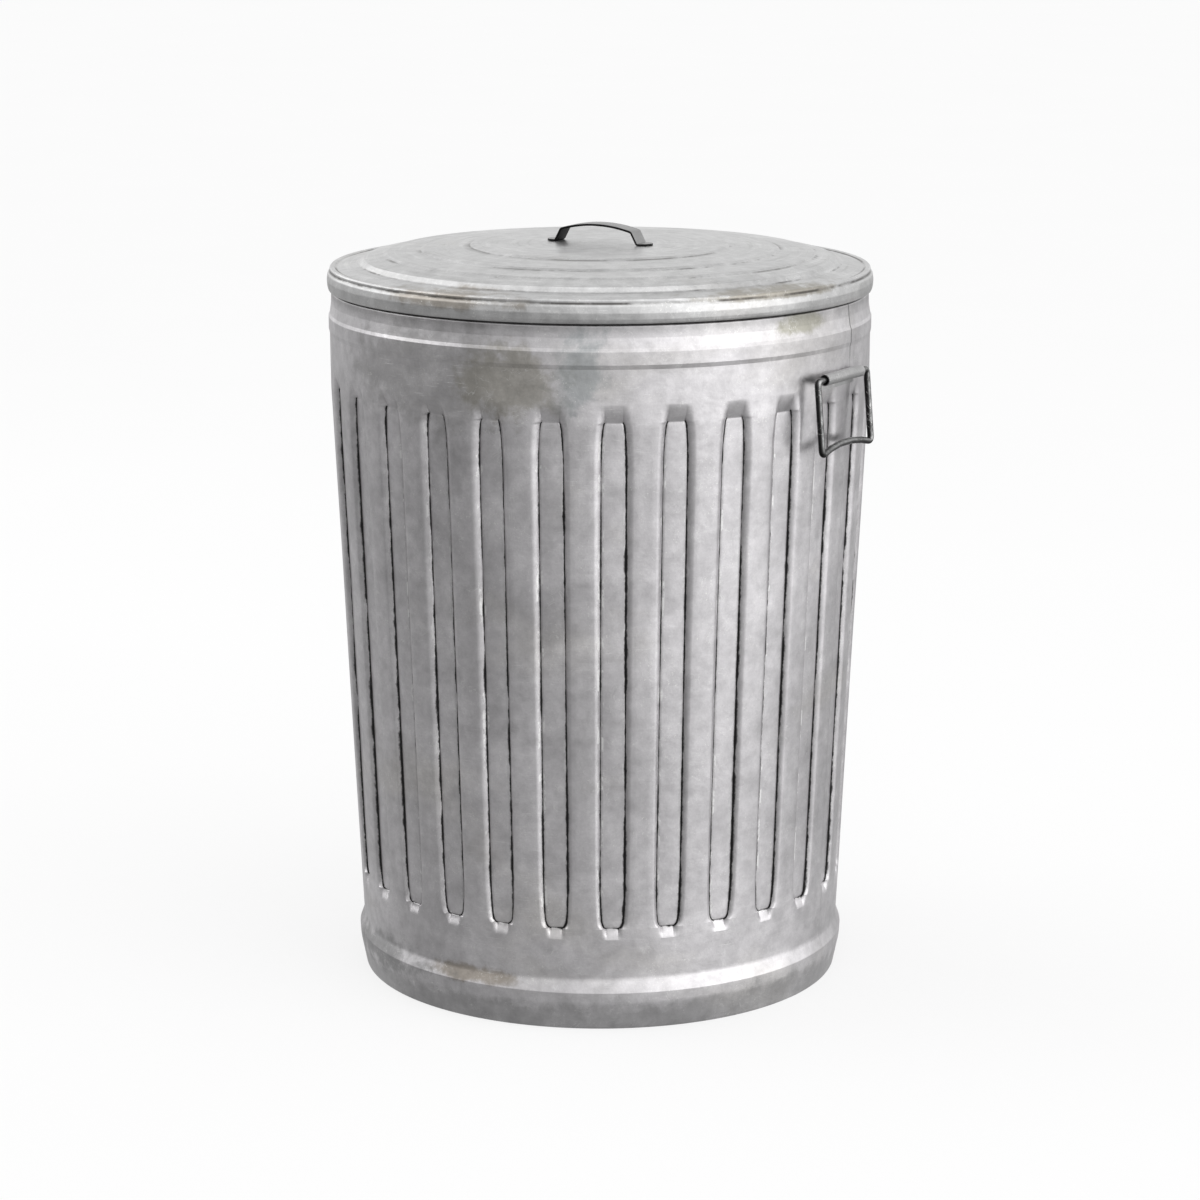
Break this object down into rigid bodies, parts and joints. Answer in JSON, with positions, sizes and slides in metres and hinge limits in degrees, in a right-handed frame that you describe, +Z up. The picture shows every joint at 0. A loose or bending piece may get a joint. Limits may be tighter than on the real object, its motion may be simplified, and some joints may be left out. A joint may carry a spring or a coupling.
{
  "type": "refuse can",
  "caption": "Round tapered refuse can of galvanised sheet steel with fluted walls, swinging wire side handles and a stepped lift-off lid with a strap handle.",
  "frame": {"origin": "centre of the bottom edge, on the floor", "axes": "+Z up along the can's axis, the side handles lie on the X axis"},
  "size_m": [0.5464, 0.522, 0.7274],
  "materials": {
    "galvanised_sheet": "dull satin galvanised sheet with faint spangle and scratches",
    "galvanised_strap": "satin galvanised strip with dark edges",
    "galvanised_wire": "dark weathered galvanised wire"
  },
  "bodies": {
    "can": {"body_shell": "galvanised_sheet", "body_rim_wire": "galvanised_wire", "bottom_pan": "galvanised_sheet", "handle_bracket_right": "galvanised_strap", "handle_bracket_left": "galvanised_strap"},
    "lid": {"lid_panel": "galvanised_sheet", "lid_handle": "galvanised_strap"},
    "drop_handle_right": {"handle_wire_right": "galvanised_wire"},
    "drop_handle_left": {"handle_wire_left": "galvanised_wire"}
  },
  "joints": [
    {"name": "lid_lift", "type": "slide", "parent": "can", "child": "lid", "axis": [0, 0, 1], "range_m": [0, 0.15]},
    {"name": "handle_right_swing", "type": "hinge", "parent": "can", "child": "drop_handle_right", "pos_m": [0.2645, 0, 0.6026], "axis": [0, -1, 0], "range_deg": [0, 175]},
    {"name": "handle_left_swing", "type": "hinge", "parent": "can", "child": "drop_handle_left", "pos_m": [-0.2645, 0, 0.6026], "axis": [0, 1, 0], "range_deg": [0, 175]}
  ]
}
